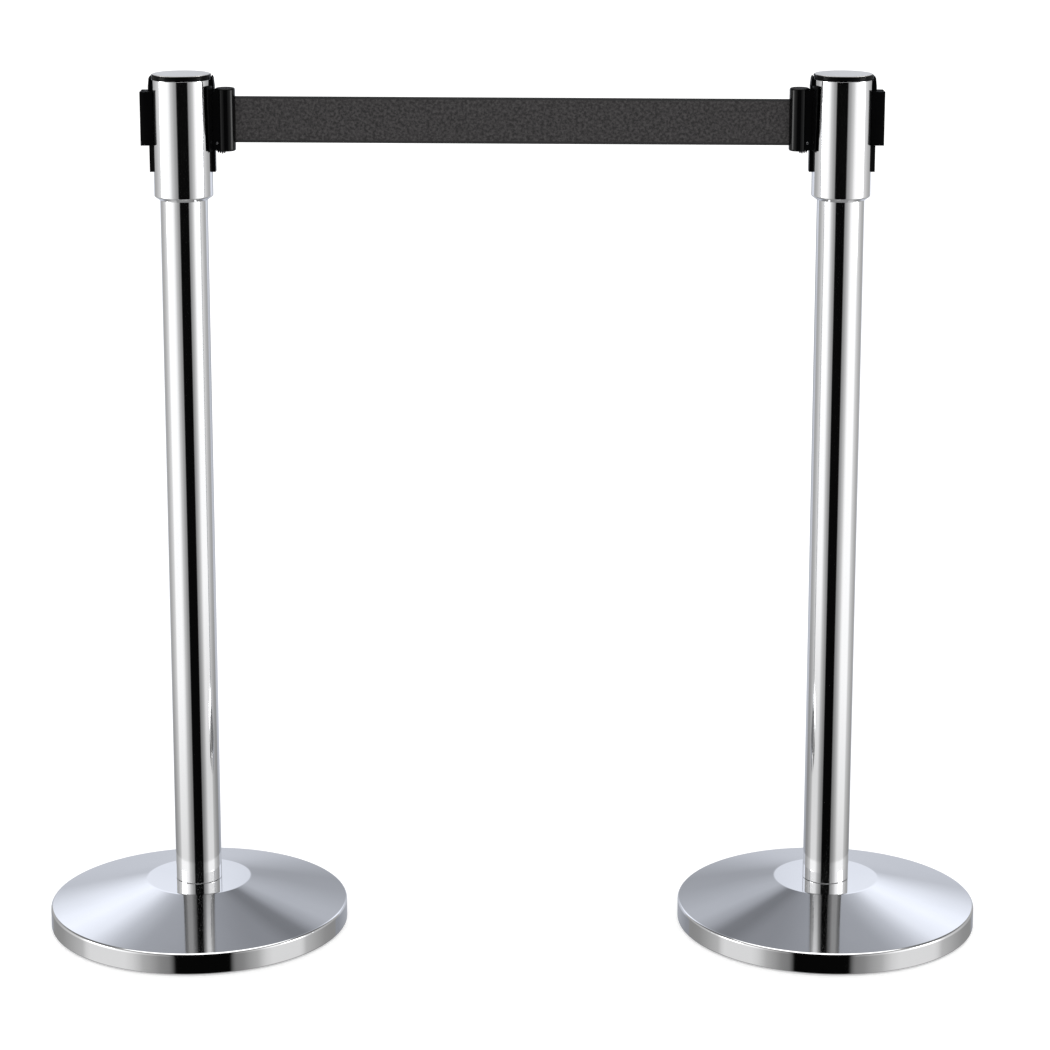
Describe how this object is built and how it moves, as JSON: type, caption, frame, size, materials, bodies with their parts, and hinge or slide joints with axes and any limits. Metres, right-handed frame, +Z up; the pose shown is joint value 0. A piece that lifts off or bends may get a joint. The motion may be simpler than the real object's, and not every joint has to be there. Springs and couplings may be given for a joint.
{
  "type": "retractable belt barrier",
  "caption": "Two polished steel posts on weighted round bases, joined by a woven belt that winds onto a sprung reel in one head and clips onto the other.",
  "frame": {"origin": "on the floor, midway between the two posts", "axes": "+X from the reel post on the left to the receiving post on the right, +Y to the back, +Z up"},
  "size_m": [1.031, 0.33, 0.9501],
  "materials": {
    "mirror_steel": "stainless steel polished to a mirror",
    "satin_steel": "satin stainless steel",
    "zinc_steel": "zinc-plated steel",
    "spring_steel": "blued spring steel",
    "cast_iron": "painted casting",
    "black_plastic": "moulded, faint grain, slight sheen",
    "grey_plastic": "moulded",
    "black_rubber": "matt",
    "woven_belt": "dark grey polyester webbing, close plain weave with firm edges"
  },
  "bodies": {
    "left_post": {"left_base_cover": "mirror_steel", "left_base_weight": "cast_iron", "left_floor_ring": "black_rubber", "left_base_bolt": "zinc_steel", "left_base_washer": "zinc_steel", "left_foot_plug": "zinc_steel", "left_post_tube": "mirror_steel", "left_neck_plug": "grey_plastic", "left_neck_screw_front": "zinc_steel", "left_neck_screw_rear": "zinc_steel", "left_head_sleeve": "mirror_steel", "left_head_core": "black_plastic", "left_cap_ring": "black_plastic", "left_cap_disc": "satin_steel", "left_cap_screw_front": "zinc_steel", "left_cap_screw_rear": "zinc_steel", "left_outer_receiver": "black_plastic", "left_receiver_screw": "zinc_steel", "outlet_nose": "black_plastic", "nose_catch_spring": "spring_steel", "guide_pin_front": "zinc_steel", "guide_pin_rear": "zinc_steel", "reel_spindle": "zinc_steel", "belt_lead": "woven_belt", "belt_feed": "woven_belt"},
    "nose_catch": {"nose_catch": "black_plastic"},
    "reel": {"reel_drum": "grey_plastic", "spring_cover": "grey_plastic", "power_spring": "spring_steel", "belt_roll": "woven_belt"},
    "right_post": {"right_base_cover": "mirror_steel", "right_base_weight": "cast_iron", "right_floor_ring": "black_rubber", "right_base_bolt": "zinc_steel", "right_base_washer": "zinc_steel", "right_foot_plug": "zinc_steel", "right_post_tube": "mirror_steel", "right_neck_plug": "grey_plastic", "right_neck_screw_front": "zinc_steel", "right_neck_screw_rear": "zinc_steel", "right_head_sleeve": "mirror_steel", "right_head_core": "black_plastic", "right_cap_ring": "black_plastic", "right_cap_disc": "satin_steel", "right_cap_screw_front": "zinc_steel", "right_cap_screw_rear": "zinc_steel", "right_outer_receiver": "black_plastic", "right_receiver_screw": "zinc_steel", "belt_tail": "woven_belt"},
    "clip": {"clip_body": "black_plastic", "clip_belt_pin": "zinc_steel", "clip_belt_loop": "woven_belt", "clip_catch_spring": "spring_steel"},
    "clip_catch": {"clip_catch": "black_plastic"}
  },
  "joints": [
    {"name": "belt_payout", "type": "slide", "parent": "left_post", "child": "right_post", "axis": [1, 0, 0], "range_m": [-0.361, 1.275], "deforming": ["belt_feed"]},
    {"name": "reel_spin", "type": "hinge", "parent": "left_post", "child": "reel", "pos_m": [-0.3505, 0, 0.9], "axis": [0, 0, 1], "range_deg": [-1230, 4335], "deforming": ["power_spring"]},
    {"name": "nose_catch_slide", "type": "slide", "parent": "left_post", "child": "nose_catch", "axis": [1, 0, 0], "range_m": [0, 0.0025], "stiffness_N_per_m": 300, "springref_m": -0.002, "deforming": ["nose_catch_spring"]},
    {"name": "clip_lift", "type": "slide", "parent": "right_post", "child": "clip", "axis": [0, 0, 1], "range_m": [0, 0.08], "deforming": ["belt_tail"]},
    {"name": "clip_catch_slide", "type": "slide", "parent": "clip", "child": "clip_catch", "axis": [-1, 0, 0], "range_m": [0, 0.0025], "stiffness_N_per_m": 300, "springref_m": -0.002, "deforming": ["clip_catch_spring"]}
  ],
  "couplings": [
    {"joint": "reel_spin", "follows": "belt_payout", "rad_per_m": 59.28}
  ]
}
